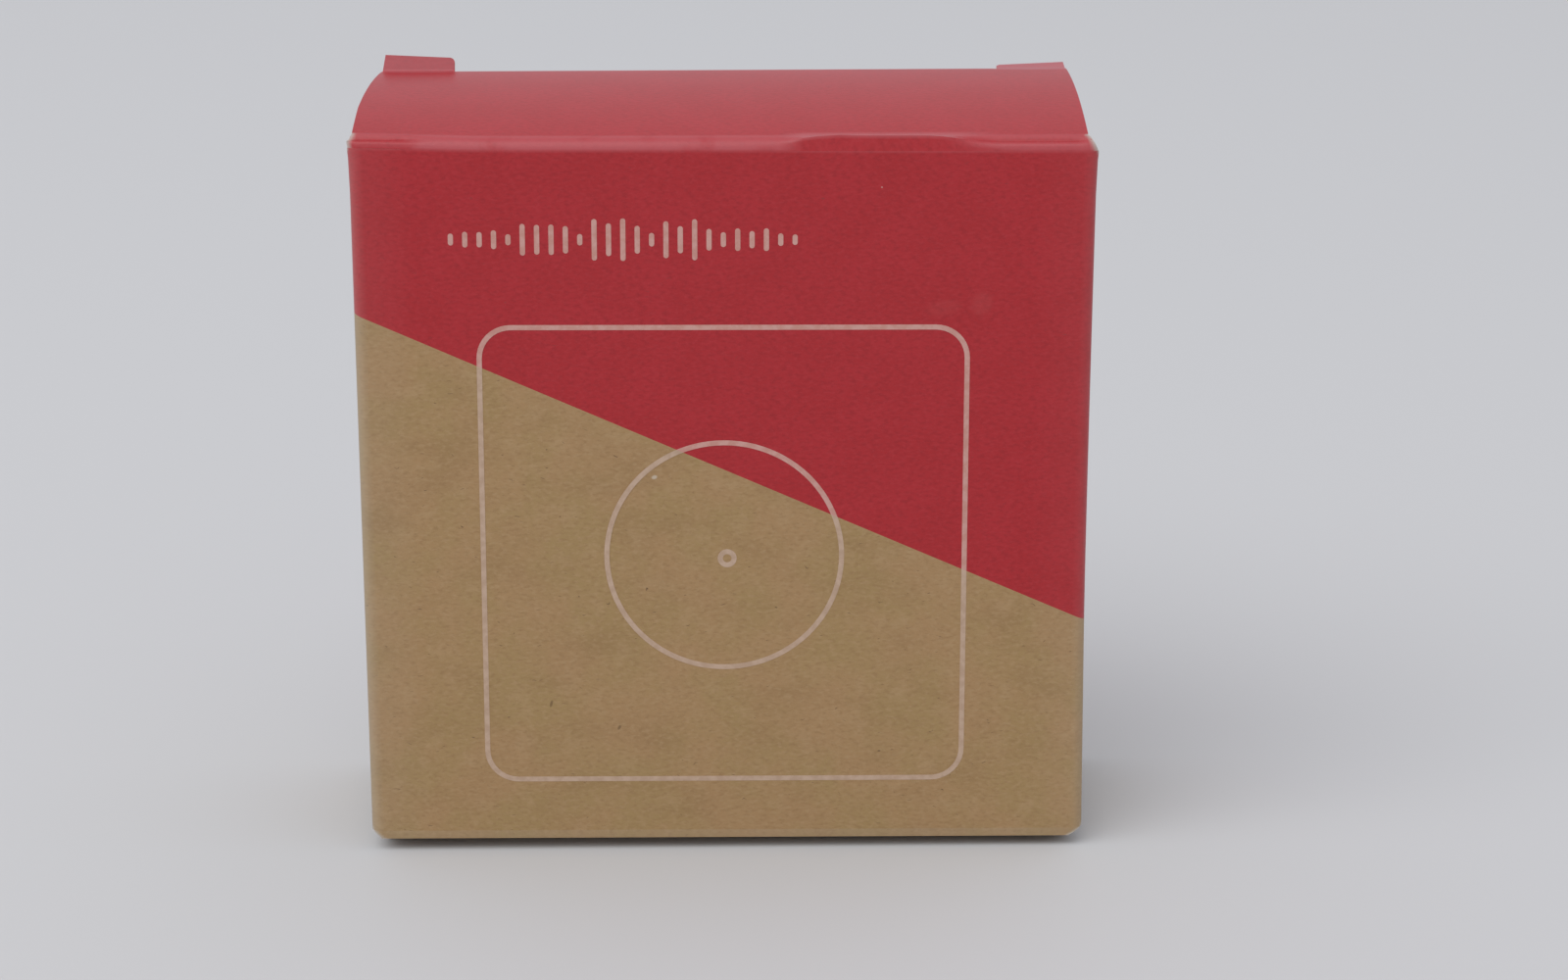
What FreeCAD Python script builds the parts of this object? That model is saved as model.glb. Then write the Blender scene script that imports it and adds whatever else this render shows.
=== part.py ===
import FreeCAD, Part

import math
import os

import Sketcher

# A small tuck-end folding carton of kraft board, closed and empty, in millimetres.
# It stands on its bottom lid. The origin is the middle of its footprint on the table,
# +Z is up and the front panel, which carries both lids, faces -Y.
#
# The sleeve and its dust flaps are one folded sheet. Each lid turns about the outer surface
# of its crease on the front panel, and each tuck flap about the inner surface of its crease
# on the lid, so the board never has to pass through itself.

doc = FreeCAD.newDocument("folding_carton")
sheet = doc.addObject("Spreadsheet::Sheet", "Sizes")

# Driving dimensions

SIZES = {
    # the carton over its outer faces
    "width": 90.0,
    "depth": 32.0,
    "height": 90.0,
    # the board, and the inner radius it takes at a crease
    "board": 0.5,
    "bend": 0.7,
    # what slides stays this far from what it slides on
    "slide_gap": 0.3,
    # the hinged side of a crease starts this many degrees past the fixed side
    "crease_gap_angle": 5.0,
    # glue seam at the right rear corner, where the groove along it is filled to this angle
    "seam_fill_angle": 60.0,
    "glue_flap": 13.0,
    "glue_flap_setback": 1.5,
    "glue_flap_taper": 3.0,
    "seam_setback": 0.25,
    # slanted cut across each lower corner of the front panel
    "corner_cut": 1.2,
    # dust flaps, with the shoulder that the slits of the lid catch on
    "dust_length": 27.0,
    "dust_relief": 0.3,
    "dust_rear_gap": 1.2,
    "dust_shoulder": 9.5,
    "dust_notch": 3.5,
    "dust_front_start": 2.5,
    "dust_front_taper": 4.5,
    "dust_corner": 4.0,
    # lids: the top one stands sprung up, so it leaves its front crease at a slope
    "lid_inset": 0.95,
    "front_slope": 15.2,
    "rear_slope": 2.1,
    "slit": 9.2,
    # ears at the ends of the tuck creases: the top left one stands up, the top right one is
    # lifted a little, and the bottom ones run on flat
    "flat_ear": 0.9,
    "lifted_ear": 0.6,
    "lifted_ear_angle": 35.0,
    "lifted_ear_bend": 1.2,
    "raised_ear": 1.7,
    "raised_ear_angle": 72.0,
    "raised_ear_bend": 0.3,
    "raised_ear_inset": 0.85,
    # the bottom lid bulges down at its front crease, levels out and stands on its flat part
    "rest_slope": 9.2,
    "rest_bow": 82.0,
    # tuck flaps
    "tuck_depth": 15.0,
    "tuck_side_gap": 0.9,
    "tuck_corner": 7.0,
    "tuck_shoulder": 1.5,
    "tuck_follow": 0.4,
}

for row, (alias, number) in enumerate(SIZES.items(), start=1):
    sheet.set(f"A{row}", alias)
    sheet.set(f"B{row}", str(number))
    sheet.setAlias(f"B{row}", alias)
doc.recompute()


# A length or angle together with the sheet formula that drives it


class Size:
    """A number and its formula over the sheet, so that each sum is written once."""

    def __init__(self, value, formula):
        self.value = value
        self.formula = formula

    def __add__(self, other):
        other = as_size(other)
        return Size(self.value + other.value, f"({self.formula} + {other.formula})")

    def __sub__(self, other):
        other = as_size(other)
        return Size(self.value - other.value, f"({self.formula} - {other.formula})")

    def __mul__(self, other):
        other = as_size(other)
        return Size(self.value * other.value, f"({self.formula} * {other.formula})")

    def __truediv__(self, other):
        other = as_size(other)
        return Size(self.value / other.value, f"({self.formula} / {other.formula})")

    def __neg__(self):
        return self * -1


def as_size(number):
    return number if isinstance(number, Size) else Size(float(number), f"({number})")


def size(alias):
    return Size(float(sheet.get(alias)), f"Sizes.{alias}")


def cosine(angle):
    angle = as_size(angle)
    return Size(math.cos(math.radians(angle.value)), f"cos({angle.formula})")


def sine(angle):
    angle = as_size(angle)
    return Size(math.sin(math.radians(angle.value)), f"sin({angle.formula})")


def along(centre, radius, angle):
    """The point at an angle on a circle, counted from the first axis towards the second."""
    return centre[0] + radius * cosine(angle), centre[1] + radius * sine(angle)


def flipped(point, up):
    """The point itself for the top of the carton, or its mirror image for the bottom."""
    return point[0], point[1] * up


# Derived sizes that several pieces share

half_width = size("width") / 2
half_depth = size("depth") / 2
half_height = size("height") / 2
board = size("board")
bend = size("bend")
slide_gap = size("slide_gap")
fold = bend + board
lid_half = half_width - size("lid_inset")
slit_start = lid_half - size("slit")
tuck_half = half_width - board - size("tuck_side_gap")

# fold centres of the front crease and of the tuck crease, in depth
front_fold = fold - half_depth
# the tuck flaps slide on the glue flap, which lies on the back panel's inner face
glue_inside = half_depth - board * 2
tuck_outer_face = glue_inside - slide_gap
rear_fold = tuck_outer_face - fold
lid_span = rear_fold - front_fold
dust_rear_edge = tuck_outer_face - board - size("dust_rear_gap")
dust_drop = board + slide_gap
# how far the bottom lid's bulge lifts the sleeve off the table
lift = size("rest_bow") * (as_size(1) - cosine(size("rest_slope")))
middle = half_height + lift

# a crease is split in its middle, at 45 degrees from both panels
FRONT_SPLIT = 135
REAR_SPLIT = 45
CUT_MARGIN = 2


# Sketches


def draw(sketch, corners):
    """Close an outline through corners. A corner is (across, up) or (across, up, arc), where
    arc is the centre and the radius of the edge that leaves it."""
    points = [FreeCAD.Vector(corner[0].value, corner[1].value, 0) for corner in corners]
    edges = []
    for index, corner in enumerate(corners):
        start = points[index]
        end = points[(index + 1) % len(points)]
        if len(corner) == 2:
            edges.append((sketch.addGeometry(Part.LineSegment(start, end)), 1, 2))
            continue
        centre, radius = corner[2]
        middle = FreeCAD.Vector(centre[0].value, centre[1].value, 0)
        circle = Part.Circle(middle, FreeCAD.Vector(0, 0, 1), radius.value)
        turn = (start - middle).cross(end - middle).z
        first, last = (start, end) if turn > 0 else (end, start)
        angles = [math.atan2(p.y - middle.y, p.x - middle.x) for p in (first, last)]
        arc = sketch.addGeometry(Part.ArcOfCircle(circle, *angles))
        edges.append((arc, 1, 2) if turn > 0 else (arc, 2, 1))
        named = sketch.addConstraint(Sketcher.Constraint("Radius", arc, radius.value))
        sketch.setExpression(f"Constraints[{named}]", radius.formula)
    for index, (edge, first, last) in enumerate(edges):
        following, joins, _ = edges[(index + 1) % len(edges)]
        sketch.addConstraint(Sketcher.Constraint("Coincident", edge, last, following, joins))
        for kind, length in zip(("DistanceX", "DistanceY"), corners[index]):
            held = Sketcher.Constraint(kind, edge, first, length.value)
            named = sketch.addConstraint(held)
            sketch.setExpression(f"Constraints[{named}]", length.formula)


def sketch_on(body, role, name, outlines, offset=None):
    """A sketch on one of the body's own origin planes, or at an offset along the plane's
    normal, holding closed outlines."""
    plane = next(part for part in body.Origin.OriginFeatures if part.Role == role)
    sketch = body.newObject("Sketcher::SketchObject", name)
    sketch.AttachmentSupport = (plane, [""])
    sketch.MapMode = "FlatFace"
    if offset:
        sketch.setExpression(".AttachmentOffset.Base.z", offset.formula)
    for corners in outlines:
        draw(sketch, corners)
    doc.recompute()
    return sketch


def pad(body, sketch, name, length, second=None, sides="Symmetric"):
    """Add the sketch's solid: half of the length to each side, all of it to the normal's
    side, or one length to each side."""
    feature = body.newObject("PartDesign::Pad", name)
    feature.Profile = sketch
    feature.SideType = "Two sides" if second else sides
    feature.setExpression("Length", length.formula)
    if second:
        feature.setExpression("Length2", second.formula)
    doc.recompute()
    return feature


def pocket(body, sketch, name, sides="Symmetric", depth=None):
    """Cut the sketch's region right through, to both sides or only to the normal's side,
    or to a depth on that side."""
    before = body.Shape.Volume
    feature = body.newObject("PartDesign::Pocket", name)
    feature.Profile = sketch
    feature.Type = "Length" if depth else "ThroughAll"
    feature.SideType = sides
    feature.Reversed = sides == "One side"
    if depth:
        feature.setExpression("Length", depth.formula)
    doc.recompute()
    if body.Shape.Volume >= before:
        raise ValueError(f"{name} cut nothing")
    return feature


def round_edges(body, name, radius, chosen):
    """Round the edges of the body that the chosen test picks."""
    base = body.Tip
    edges = enumerate(base.Shape.Edges, start=1)
    picked = [f"Edge{index}" for index, edge in edges if chosen(edge)]
    feature = body.newObject("PartDesign::Fillet", name)
    feature.Base = (base, picked)
    feature.setExpression("Radius", radius.formula)
    doc.recompute()
    return feature


def new_body(label, place):
    """A body whose own origin is put at a place that follows the sheet."""
    body = doc.addObject("PartDesign::Body", label)
    body.Label = label
    for axis, length in zip("xyz", place):
        body.setExpression(f".Placement.Base.{axis}", as_size(length).formula)
    doc.recompute()
    return body


# The folded sheet: sleeve, glue flap and dust flaps


def sleeve_outlines():
    """The sleeve seen from above. The back panel lies over the glue flap, which the right
    side panel carries, so its raw edge shows at the right rear corner."""
    left = fold - half_width
    right = half_width - fold
    back_inside = half_depth - board
    seam = half_width - size("seam_setback")
    # the right side panel turns in under the back panel, so its fold sits one board deeper
    seam_centre = (right, back_inside - fold)
    seam_mouth = along(seam_centre, fold, size("seam_fill_angle"))
    front_right = (right, front_fold)
    front_left = (left, front_fold)
    rear_left = (left, half_depth - fold)
    flap_end = right - size("glue_flap")
    outside = [
        (left, -half_depth),
        (right, -half_depth, (front_right, fold)),
        (half_width, front_fold),
        (half_width, seam_centre[1], (seam_centre, fold)),
        seam_mouth,
        (seam_mouth[0], back_inside),
        (seam, back_inside),
        (seam, half_depth),
        (left, half_depth, (rear_left, fold)),
        (-half_width, rear_left[1]),
        (-half_width, front_fold, (front_left, fold)),
    ]
    inside = [
        (left, board - half_depth),
        (right, board - half_depth, (front_right, bend)),
        (half_width - board, front_fold),
        (half_width - board, seam_centre[1], (seam_centre, bend)),
        (right, glue_inside),
        (flap_end, glue_inside),
        (flap_end, back_inside),
        (left, back_inside, (rear_left, bend)),
        (board - half_width, rear_left[1]),
        (board - half_width, front_fold, (front_left, bend)),
    ]
    return [outside, inside]


def wall_top_outline(up):
    """What is cut off the sleeve above its creases, seen from the right side: the front
    panel keeps its height up to the lid's crease, and the side panels stop lower, because
    the dust flaps fold in below the lid. The back panel stays whole."""
    front_stop = half_height - fold
    side_stop = front_stop - dust_drop
    beyond = half_height + CUT_MARGIN
    side_start = front_fold
    side_end = half_depth - board - fold
    corners = [
        (-half_depth - CUT_MARGIN, front_stop),
        (side_start, front_stop),
        (side_start, side_stop),
        (side_end, side_stop),
        (side_end, beyond),
        (-half_depth - CUT_MARGIN, beyond),
    ]
    return [flipped(corner, up) for corner in corners]


def dust_flap_outline(side, up):
    """A dust flap from the end, with its crease on the side panel."""
    centre = ((half_width - fold) * side, (half_height - fold - dust_drop) * up)
    top = centre[1] + fold * up
    under = centre[1] + bend * up
    tip = centre[0] - size("dust_length") * side
    return [
        (half_width * side, centre[1], (centre, fold)),
        (centre[0], top),
        (tip, top),
        (tip, under),
        (centre[0], under, (centre, bend)),
        ((half_width - board) * side, centre[1]),
    ]


def dust_trim_outlines(side):
    """What is cut off a dust flap, seen from above: at the rear a straight shoulder, a
    slanted notch and a taper, and at the front a taper."""
    root = half_width - fold
    tip = root - size("dust_length") - CUT_MARGIN
    rear_outside = dust_rear_edge + slide_gap / 2
    shoulder = root - size("dust_shoulder")
    notch = size("dust_notch")
    rear = [
        (shoulder * side, rear_outside),
        (shoulder * side, dust_rear_edge),
        ((shoulder - notch) * side, dust_rear_edge - notch),
        (tip * side, dust_rear_edge - notch * 1.5),
        (tip * side, rear_outside),
    ]
    front_edge = front_fold + size("dust_relief")
    front_outside = front_edge - slide_gap
    start = root - size("dust_front_start")
    front = [
        (start * side, front_outside),
        (start * side, front_edge),
        (tip * side, front_edge + size("dust_front_taper")),
        (tip * side, front_outside),
    ]
    return [rear, front]


def front_crease_outline(up):
    """The half of the front crease that stays on the front panel, from the side."""
    centre = (front_fold, half_height - fold)
    corners = [
        (-half_depth, centre[1], (centre, fold)),
        along(centre, fold, FRONT_SPLIT),
        (*along(centre, bend, FRONT_SPLIT), (centre, bend)),
        (board - half_depth, centre[1]),
    ]
    return mirrored(corners, up)


def mirrored(corners, up):
    """An outline with arcs, turned upside down for the bottom of the carton."""
    turned = []
    for across, height, *arc in corners:
        arc = [(flipped(centre, up), radius) for centre, radius in arc]
        turned.append((across, height * up, *arc))
    return turned


def corner_cut_outline(side):
    """The slanted cut at a lower corner of the front panel, seen from the front."""
    stop = fold - half_height
    cut = size("corner_cut")
    beyond = half_width + CUT_MARGIN
    return [
        ((half_width - cut - CUT_MARGIN) * side, stop - CUT_MARGIN),
        (beyond * side, stop - CUT_MARGIN),
        (beyond * side, stop + cut + CUT_MARGIN),
    ]


def glue_flap_outline(up):
    """What is cut off one end of the glue flap, seen from the front: it stops short of the
    sleeve's edge and tapers towards its free edge."""
    root = half_width - fold
    free = root - size("glue_flap") - CUT_MARGIN
    stop = half_height - size("glue_flap_setback")
    corners = [
        (root, half_height + CUT_MARGIN),
        (root, stop),
        (free, stop - size("glue_flap_taper")),
        (free, half_height + CUT_MARGIN),
    ]
    return [flipped(corner, up) for corner in corners]


def make_carton_body():
    body = new_body("carton_body", (0, 0, middle))
    sleeve = sketch_on(body, "XY_Plane", "sleeve_section", sleeve_outlines())
    pad(body, sleeve, "sleeve", size("height"))
    stops = [wall_top_outline(up) for up in (1, -1)]
    pocket(body, sketch_on(body, "YZ_Plane", "wall_stops", stops), "wall_tops")
    seams = [glue_flap_outline(up) for up in (1, -1)]
    # this sketch lies on the back panel's inner face
    seam_sketch = sketch_on(body, "XZ_Plane", "glue_flap_ends", seams, board - half_depth)
    pocket(body, seam_sketch, "glue_flap_shape", "One side", board)
    cuts = [corner_cut_outline(side) for side in (1, -1)]
    # this sketch lies just behind the front folds, so that only the front panel is cut
    cut_sketch = sketch_on(body, "XZ_Plane", "corner_cut_plan", cuts, -front_fold)
    pocket(body, cut_sketch, "corner_cuts", "One side")
    flaps = [dust_flap_outline(side, up) for side in (1, -1) for up in (1, -1)]
    flap_sketch = sketch_on(body, "XZ_Plane", "dust_flap_sections", flaps)
    front_reach = -front_fold - size("dust_relief")
    pad(body, flap_sketch, "dust_flaps", front_reach, dust_rear_edge)
    trims = dust_trim_outlines(1) + dust_trim_outlines(-1)
    pocket(body, sketch_on(body, "XY_Plane", "dust_flap_trims", trims), "dust_flap_shape")
    tip = (half_width - fold - size("dust_length")).value

    def at_flap_tip(edge):
        ends = [vertex.Point for vertex in edge.Vertexes]
        upright = len(ends) == 2 and abs(abs(ends[0].z - ends[1].z) - board.value) < 0.01
        return upright and all(abs(abs(end.x) - tip) < 0.01 for end in ends)

    round_edges(body, "dust_flap_corners", size("dust_corner"), at_flap_tip)
    creases = [front_crease_outline(up) for up in (1, -1)]
    crease_sketch = sketch_on(body, "YZ_Plane", "front_crease_sections", creases)
    pad(body, crease_sketch, "front_creases", lid_half * 2)
    return body


# The lids


class LidShape:
    """How a lid lies, counted from its hinge line on the outer surface of the front crease.
    It leaves that crease at a slope and bows over to its tuck crease, where it lands at
    another slope. A lid with a bow of its own levels out first, and runs on flat."""

    def __init__(self, front_slope, rear_slope, bow_reach=None):
        self.levels_out = bow_reach is not None
        self.leaves = front_slope + 90
        self.lands = as_size(90) - rear_slope
        reach = bow_reach or lid_span / (sine(front_slope) + sine(rear_slope))
        self.radius = reach + fold
        self.front = along((as_size(0), as_size(0)), -fold, FRONT_SPLIT)
        self.bow = along(self.front, -reach, self.leaves)
        self.rear = along(self.bow, reach, self.lands)
        if self.levels_out:
            self.rear = (self.front[0] + lid_span, self.rear[1])


def panel_outline(shape, up):
    """A closure panel from the side: half of the front crease, then the panel up to the
    tuck crease."""
    start = as_size(FRONT_SPLIT) - size("crease_gap_angle")
    outer_bow = (shape.bow, shape.radius)
    inner_bow = (shape.bow, shape.radius - board)
    rear_outer = along(shape.rear, fold, shape.lands)
    rear_inner = along(shape.rear, bend, shape.lands)
    if shape.levels_out:
        bow_end = along(*outer_bow, shape.lands)
        inner_end = along(*inner_bow, shape.lands)
        rear_end = [bow_end, rear_outer, rear_inner, (*inner_end, inner_bow)]
    else:
        rear_end = [rear_outer, (*rear_inner, inner_bow)]
    corners = [
        (*along(shape.front, fold, start), (shape.front, fold)),
        (*along(shape.front, fold, shape.leaves), outer_bow),
        *rear_end,
        (*along(shape.front, bend, shape.leaves), (shape.front, bend)),
        along(shape.front, bend, start),
    ]
    return mirrored(corners, up)


def tuck_crease_outline(shape, up):
    """The half of the tuck crease that stays on the lid."""
    rear = shape.rear
    corners = [
        (*along(rear, fold, shape.lands), (rear, fold)),
        along(rear, fold, REAR_SPLIT),
        (*along(rear, bend, REAR_SPLIT), (rear, bend)),
        along(rear, bend, shape.lands),
    ]
    return mirrored(corners, up)


def flat_ear_outline(shape, up):
    """An ear that runs on in the lid's plane past the tuck crease."""
    outer = along(shape.rear, fold, shape.lands)
    inner = along(shape.rear, bend, shape.lands)
    ahead = shape.lands - 90
    corners = [
        outer,
        along(outer, size("flat_ear"), ahead),
        along(inner, size("flat_ear"), ahead),
        inner,
    ]
    return mirrored(corners, up)


def bent_ear_outline(shape, kind):
    """An ear of the top lid that is bent up from its rear edge."""
    turn = size(f"{kind}_ear_bend")
    outer = along(shape.rear, fold, shape.lands)
    inner = along(shape.rear, bend, shape.lands)
    centre = along(outer, turn, shape.lands)
    stands = shape.lands + 180 + size(f"{kind}_ear_angle")
    ahead = stands + 90
    top_outer = along(centre, turn, stands)
    top_inner = along(centre, turn + board, stands)
    return [
        (*outer, (centre, turn)),
        top_outer,
        along(top_outer, size(f"{kind}_ear"), ahead),
        along(top_inner, size(f"{kind}_ear"), ahead),
        (*top_inner, (centre, turn + board)),
        inner,
    ]


def make_lid(label, up, shape):
    """A closure panel on its hinge line. Slits free an ear at each end of its tuck crease."""
    centre = (front_fold, half_height - fold)
    hinge = along(centre, fold, FRONT_SPLIT)
    body = new_body(label, (0, hinge[0], middle + hinge[1] * up))
    panel = panel_outline(shape, up)
    pad(body, sketch_on(body, "YZ_Plane", "panel_section", [panel]), "panel", lid_half * 2)
    crease = tuck_crease_outline(shape, up)
    crease_sketch = sketch_on(body, "YZ_Plane", "tuck_crease_section", [crease])
    pad(body, crease_sketch, "tuck_crease", slit_start * 2)
    ear_width = size("slit") - slide_gap
    inset = size("raised_ear_inset")
    right, left = (lid_half - ear_width, ear_width), (-lid_half, ear_width)
    if up > 0:
        left = (inset - lid_half, ear_width - inset)
        ears = [
            ("right_ear", bent_ear_outline(shape, "lifted"), *right),
            ("left_ear", bent_ear_outline(shape, "raised"), *left),
        ]
    else:
        flat = flat_ear_outline(shape, up)
        ears = [("right_ear", flat, *right), ("left_ear", flat, *left)]
    for name, outline, start, width in ears:
        ear_sketch = sketch_on(body, "YZ_Plane", f"{name}_section", [outline], start)
        pad(body, ear_sketch, name, width, sides="One side")
    return body


# The tuck flaps


def make_tuck_flap(label, up, shape):
    """A tuck flap on its hinge line, the inner surface of the crease on the lid. It curls
    in a little below the crease. Its curl has the radius at which it slides straight out
    behind the back panel when it folds in by its share of the lid's turn."""
    crease = (front_fold, half_height - fold)
    hinge = along(crease, fold, FRONT_SPLIT)
    pivot = along(shape.rear, bend, REAR_SPLIT)
    place = (0, hinge[0] + pivot[0], middle + (hinge[1] + pivot[1]) * up)
    body = new_body(label, place)
    centre = along((as_size(0), as_size(0)), -bend, REAR_SPLIT)
    stays = as_size(1) - size("tuck_follow")
    curl = lid_span / (stays * stays)
    flat = size("tuck_depth") - fold
    sweep = flat / curl * (180 / math.pi)
    curl_centre = (centre[0] + fold - curl, centre[1])
    start = as_size(REAR_SPLIT) - size("crease_gap_angle")
    corners = [
        (*along(centre, fold, start), (centre, fold)),
        (centre[0] + fold, centre[1], (curl_centre, curl)),
        along(curl_centre, curl, -sweep),
        (*along(curl_centre, curl - board, -sweep), (curl_centre, curl - board)),
        (centre[0] + bend, centre[1], (centre, bend)),
        along(centre, bend, start),
    ]
    section = sketch_on(body, "YZ_Plane", "flap_section", [mirrored(corners, up)])
    pad(body, section, "flap", tuck_half * 2)
    outlines = tuck_trim_outlines(centre[1], flat, up)
    pocket(body, sketch_on(body, "XZ_Plane", "flap_plan", outlines), "flap_shape")
    return body


def tuck_trim_outlines(crease_level, flat, up):
    """What is cut off a tuck flap, seen from the front: everything outside its rounded
    shape, with a shoulder under each slit of the lid."""
    corner = size("tuck_corner")
    shoulder = size("tuck_shoulder")
    neck = slit_start - slide_gap
    top = crease_level + fold + CUT_MARGIN
    shoulder_level = crease_level - slide_gap
    low = crease_level - flat
    outside = tuck_half + CUT_MARGIN
    below = low - CUT_MARGIN
    kept = []
    for side in (1, -1):
        corner_centre = ((tuck_half - corner) * side, low + corner)
        shoulder_centre = ((tuck_half - shoulder) * side, shoulder_level - shoulder)
        half = [
            (neck * side, top),
            (neck * side, shoulder_level),
            (shoulder_centre[0], shoulder_level, (shoulder_centre, shoulder)),
            (tuck_half * side, shoulder_centre[1]),
            (tuck_half * side, corner_centre[1], (corner_centre, corner)),
            (corner_centre[0], low),
        ]
        kept.append(half)
    frame = [
        (outside, top + CUT_MARGIN),
        (outside, below),
        (-outside, below),
        (-outside, top + CUT_MARGIN),
    ]
    return [mirrored(frame, up), mirrored(joined_halves(*kept), up)]


def joined_halves(right, left):
    """One closed outline from a right half and its mirror image: the left half is walked
    back up, so each of its arcs leaves the corner that it reached before."""
    back = []
    for index in range(len(left) - 1, -1, -1):
        across, height, *_ = left[index]
        arc = left[index - 1][2:] if index else ()
        back.append((across, height, *arc))
    return right + back


sprung = LidShape(size("front_slope"), size("rear_slope"))
resting = LidShape(size("rest_slope"), as_size(0), size("rest_bow"))
carton_body = make_carton_body()
top_lid = make_lid("top_lid", 1, sprung)
top_tuck_flap = make_tuck_flap("top_tuck_flap", 1, sprung)
bottom_lid = make_lid("bottom_lid", -1, resting)
bottom_tuck_flap = make_tuck_flap("bottom_tuck_flap", -1, resting)
doc.recompute()

# Check every object, then write each piece

for item in doc.Objects:
    if "Invalid" in item.State or "Error" in item.State:
        raise ValueError(f"{item.Name} is {item.State}")

os.makedirs("parts", exist_ok=True)
for piece in (carton_body, top_lid, top_tuck_flap, bottom_lid, bottom_tuck_flap):
    shape = piece.Shape
    if shape.isNull() or not shape.isValid() or len(shape.Solids) != 1:
        raise ValueError(f"{piece.Label} is not one valid solid")
    shape.exportStep(f"parts/{piece.Label}.step")
    box = shape.BoundBox
    spans = f"X {box.XMin:.2f} {box.XMax:.2f}  Y {box.YMin:.2f} {box.YMax:.2f}"
    print(f"{piece.Label:18s} {shape.Volume:9.1f} mm3  {spans}  Z {box.ZMin:.2f} {box.ZMax:.2f}")
    print(f"{'':18s} at {tuple(round(number, 4) for number in piece.Placement.Base)}")
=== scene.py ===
import math

import bmesh
import bpy
from mathutils import Matrix, Vector


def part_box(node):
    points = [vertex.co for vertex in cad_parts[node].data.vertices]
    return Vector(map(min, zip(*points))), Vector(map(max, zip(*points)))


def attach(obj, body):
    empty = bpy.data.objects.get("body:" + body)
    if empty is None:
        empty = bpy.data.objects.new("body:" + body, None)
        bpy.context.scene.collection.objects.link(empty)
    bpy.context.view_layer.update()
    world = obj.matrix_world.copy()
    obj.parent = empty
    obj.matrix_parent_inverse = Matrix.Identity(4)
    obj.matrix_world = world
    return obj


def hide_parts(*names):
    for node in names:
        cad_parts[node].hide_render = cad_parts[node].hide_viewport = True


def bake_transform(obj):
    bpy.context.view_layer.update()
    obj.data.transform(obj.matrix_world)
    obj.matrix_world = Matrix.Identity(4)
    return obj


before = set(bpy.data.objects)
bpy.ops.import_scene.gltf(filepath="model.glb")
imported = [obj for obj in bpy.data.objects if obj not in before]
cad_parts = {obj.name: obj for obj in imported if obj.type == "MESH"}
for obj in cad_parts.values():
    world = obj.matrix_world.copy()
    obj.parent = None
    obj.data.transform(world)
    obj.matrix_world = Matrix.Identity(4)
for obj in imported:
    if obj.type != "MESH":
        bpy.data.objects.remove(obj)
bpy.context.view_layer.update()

# The camera
# It stands about half a metre in front of the carton and looks down on it, where the
# photograph was taken from. Its focal length is given in pixels of the picture.

PICTURE_WIDTH = 1600
FOCAL_LENGTH = 3866
SENSOR_WIDTH = 36.0
CAMERA_PLACE = (0.00063, -0.46513, 0.18065)
PITCH, YAW, ROLL = (math.radians(angle) for angle in (16.514, -0.863, -0.149))

camera_data = bpy.data.cameras.new("camera")
camera_data.sensor_width = SENSOR_WIDTH
camera_data.lens = SENSOR_WIDTH * FOCAL_LENGTH / PICTURE_WIDTH
camera_data.clip_start = 0.01
camera = bpy.data.objects.new("camera", camera_data)
turned = Matrix.Rotation(YAW, 4, "Z") @ Matrix.Rotation(math.pi / 2 - PITCH, 4, "X")
placed = Matrix.Translation(CAMERA_PLACE) @ turned
camera.matrix_world = placed @ Matrix.Rotation(ROLL, 4, "Z")
bpy.context.collection.objects.link(camera)
bpy.context.scene.camera = camera

# The board and its finishes
# The carton is one sheet of uncoated kraft board: a cloudy olive brown with a fine grain and
# a few dark flecks. The upper part of its outside is flooded with red offset ink, which stays
# matt. Folding rubs the ink pale, and the die bares the board's grey core at its edges. The
# folds' pale tone also carries painted light: a painted highlight on the top crease's ridge,
# painted shade in its pressed line, and the upright folds painted lighter where they turn to
# the side.


def linear(colour):
    """The shader colour for an sRGB hex value."""
    levels = [int(colour[place : place + 2], 16) / 255 for place in (0, 2, 4)]
    shades = [c / 12.92 if c <= 0.04045 else ((c + 0.055) / 1.055) ** 2.4 for c in levels]
    return (*shades, 1.0)


def add_node(material, kind, values=None, **settings):
    """Add a shader node with its settings, and feed its sockets from values or sockets."""
    node = material.node_tree.nodes.new(kind)
    for name, setting in settings.items():
        setattr(node, name, setting)
    for socket, source in (values or {}).items():
        if isinstance(source, bpy.types.NodeSocket):
            material.node_tree.links.new(source, node.inputs[socket])
        else:
            node.inputs[socket].default_value = source
    return node


def new_finish(name):
    """An empty material, with its shader and its place on the flat sheet in millimetres."""
    material = bpy.data.materials.new(name)
    material.use_nodes = True
    shader = material.node_tree.nodes["Principled BSDF"]
    flat = add_node(material, "ShaderNodeUVMap", uv_map="blank")
    scaled = add_node(
        material,
        "ShaderNodeVectorMath",
        {0: flat.outputs[0], 1: (1000.0, 1000.0, 1000.0)},
        operation="MULTIPLY",
    )
    return material, shader, scaled.outputs[0]


def soft_patches(material, place, across, span, most=1.0, stretch=1.0, turn=0.0):
    """A share from 0 to most in soft patches, about so many millimetres across, that can be
    drawn out in one direction. The span is the stretch of the noise that it rises over."""
    lay = add_node(
        material,
        "ShaderNodeMapping",
        {
            "Vector": place,
            "Rotation": (0.0, 0.0, math.radians(turn)),
            "Scale": (1 / across / stretch, 1 / across, 1.0),
        },
    )
    noise = add_node(
        material,
        "ShaderNodeTexNoise",
        {"Vector": lay.outputs[0], "Scale": 1.0, "Detail": 3.0, "Roughness": 0.55},
    )
    share = add_node(
        material,
        "ShaderNodeMapRange",
        {"Value": noise.outputs[0], "From Min": span[0], "From Max": span[1], "To Max": most},
        interpolation_type="SMOOTHSTEP",
    )
    return share.outputs[0]


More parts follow.
